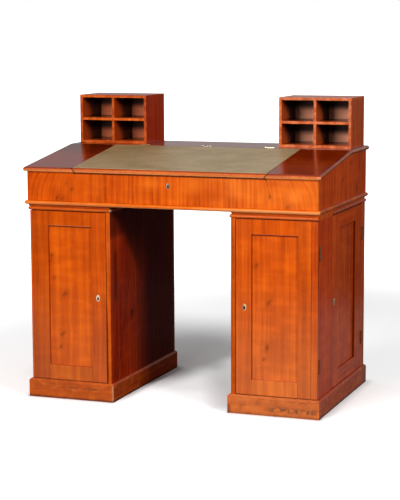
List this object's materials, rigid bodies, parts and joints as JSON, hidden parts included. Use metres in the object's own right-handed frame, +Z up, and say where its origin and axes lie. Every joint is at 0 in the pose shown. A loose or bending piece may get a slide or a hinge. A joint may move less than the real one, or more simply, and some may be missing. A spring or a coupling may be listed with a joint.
{
  "type": "standing desk",
  "caption": "Pedestal standing desk in polished wood with a sloped, leather-covered lifting lid, panelled cupboard doors with locks, and open pigeonhole boxes on its flat rear strip.",
  "frame": {"origin": "on the floor under the middle of the desk's overall box", "axes": "+X to the right along the width as seen from the user's side, +Y from the user's side to the back, +Z up"},
  "size_m": [1.368, 0.804, 1.3343],
  "materials": {
    "cherry": "polished red-brown fruitwood",
    "cherry_dark": "plain darker backing wood",
    "leather": "worn olive-tan hide",
    "brass": "dull brass",
    "iron": "dark wrought iron",
    "bone": "cream bone inlay"
  },
  "bodies": {
    "carcase": {"left_inner_side": "cherry", "left_outer_side": "cherry", "left_back": "cherry_dark", "left_floor": "cherry_dark", "left_plinth": "cherry", "left_pedestal_top": "cherry", "left_front_hinge_upper": "brass", "left_front_hinge_lower": "brass", "left_side_hinge_upper": "brass", "left_side_hinge_lower": "brass", "right_inner_side": "cherry", "right_outer_side": "cherry", "right_back": "cherry_dark", "right_floor": "cherry_dark", "right_plinth": "cherry", "right_pedestal_top": "cherry", "right_front_hinge_upper": "brass", "right_front_hinge_lower": "brass", "right_side_hinge_upper": "brass", "right_side_hinge_lower": "brass", "case_floor": "cherry", "case_front_rail": "cherry", "case_left_side": "cherry", "case_right_side": "cherry", "case_back": "cherry_dark", "writing_top": "cherry", "lid_hinge_left": "brass", "lid_hinge_middle": "brass", "lid_hinge_right": "brass", "lid_lock_case": "iron", "lid_escutcheon": "bone", "left_box_case": "cherry", "left_box_divider": "cherry", "right_box_case": "cherry", "right_box_divider": "cherry"},
    "left_front_door": {"left_front_door_frame": "cherry", "left_front_door_panel": "cherry", "left_front_lock_case": "iron", "left_front_escutcheon": "bone"},
    "left_side_door": {"left_side_door_frame": "cherry", "left_side_door_panel": "cherry", "left_side_lock_case": "iron", "left_side_escutcheon": "bone"},
    "right_front_door": {"right_front_door_frame": "cherry", "right_front_door_panel": "cherry", "right_front_lock_case": "iron", "right_front_escutcheon": "bone"},
    "right_side_door": {"right_side_door_frame": "cherry", "right_side_door_panel": "cherry", "right_side_lock_case": "iron", "right_side_escutcheon": "bone"},
    "writing_lid": {"lid": "cherry", "lid_leather": "leather", "lid_staple": "iron"},
    "left_front_bolt": {"left_front_lock_bolt": "brass"},
    "left_side_bolt": {"left_side_lock_bolt": "brass"},
    "right_front_bolt": {"right_front_lock_bolt": "brass"},
    "right_side_bolt": {"right_side_lock_bolt": "brass"},
    "lid_bolt": {"lid_lock_bolt": "brass"}
  },
  "joints": [
    {"name": "left_front_door_hinge", "type": "hinge", "parent": "carcase", "child": "left_front_door", "pos_m": [-0.6707, -0.3515, 0.465], "axis": [0, 0, -1], "range_deg": [0, 175]},
    {"name": "right_front_door_hinge", "type": "hinge", "parent": "carcase", "child": "right_front_door", "pos_m": [0.6707, -0.3515, 0.465], "axis": [0, 0, 1], "range_deg": [0, 175]},
    {"name": "left_side_door_hinge", "type": "hinge", "parent": "carcase", "child": "left_side_door", "pos_m": [-0.6707, 0.3445, 0.465], "axis": [0, 0, -1], "range_deg": [0, 165]},
    {"name": "right_side_door_hinge", "type": "hinge", "parent": "carcase", "child": "right_side_door", "pos_m": [0.6707, 0.3445, 0.465], "axis": [0, 0, 1], "range_deg": [0, 165]},
    {"name": "writing_lid_hinge", "type": "hinge", "parent": "carcase", "child": "writing_lid", "pos_m": [0, 0.1, 1.11113], "axis": [-1, 0, 0], "range_deg": [0, 105]},
    {"name": "left_front_bolt_slide", "type": "slide", "parent": "left_front_door", "child": "left_front_bolt", "axis": [1, 0, 0], "range_m": [0, 0.01]},
    {"name": "right_front_bolt_slide", "type": "slide", "parent": "right_front_door", "child": "right_front_bolt", "axis": [-1, 0, 0], "range_m": [0, 0.01]},
    {"name": "left_side_bolt_slide", "type": "slide", "parent": "left_side_door", "child": "left_side_bolt", "axis": [0, -1, 0], "range_m": [0, 0.01]},
    {"name": "right_side_bolt_slide", "type": "slide", "parent": "right_side_door", "child": "right_side_bolt", "axis": [0, -1, 0], "range_m": [0, 0.01]},
    {"name": "lid_bolt_slide", "type": "slide", "parent": "carcase", "child": "lid_bolt", "axis": [-1, 0, 0], "range_m": [0, 0.01]}
  ]
}
